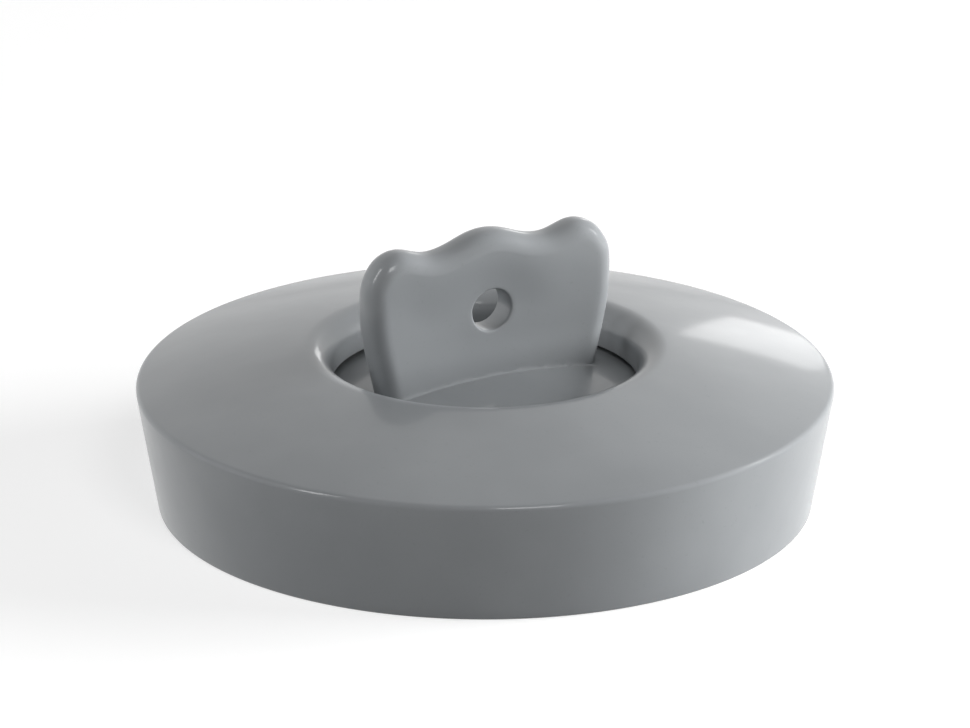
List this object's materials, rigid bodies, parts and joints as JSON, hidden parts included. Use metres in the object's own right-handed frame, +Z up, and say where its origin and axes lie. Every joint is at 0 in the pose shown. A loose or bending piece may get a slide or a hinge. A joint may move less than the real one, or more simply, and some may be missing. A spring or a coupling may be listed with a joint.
{
  "type": "sink plug",
  "caption": "Domed grey rubber sink plug with an upright finger grip and loose stepped rings nested over it, each with a tapered skirt and a rolled bore, to fit larger wastes.",
  "frame": {"origin": "on the common axis of the plug and its rings, at the level of the feet", "axes": "+Z up along the common axis through the grip; X along the grip's length; Y through the chain hole"},
  "size_m": [0.0626, 0.0626, 0.0258],
  "materials": {
    "grey_rubber": "satin mid grey, moulded"
  },
  "bodies": {
    "root": {"core_plug": "grey_rubber", "inner_ring": "grey_rubber", "middle_ring": "grey_rubber", "outer_ring": "grey_rubber"}
  },
  "joints": []
}
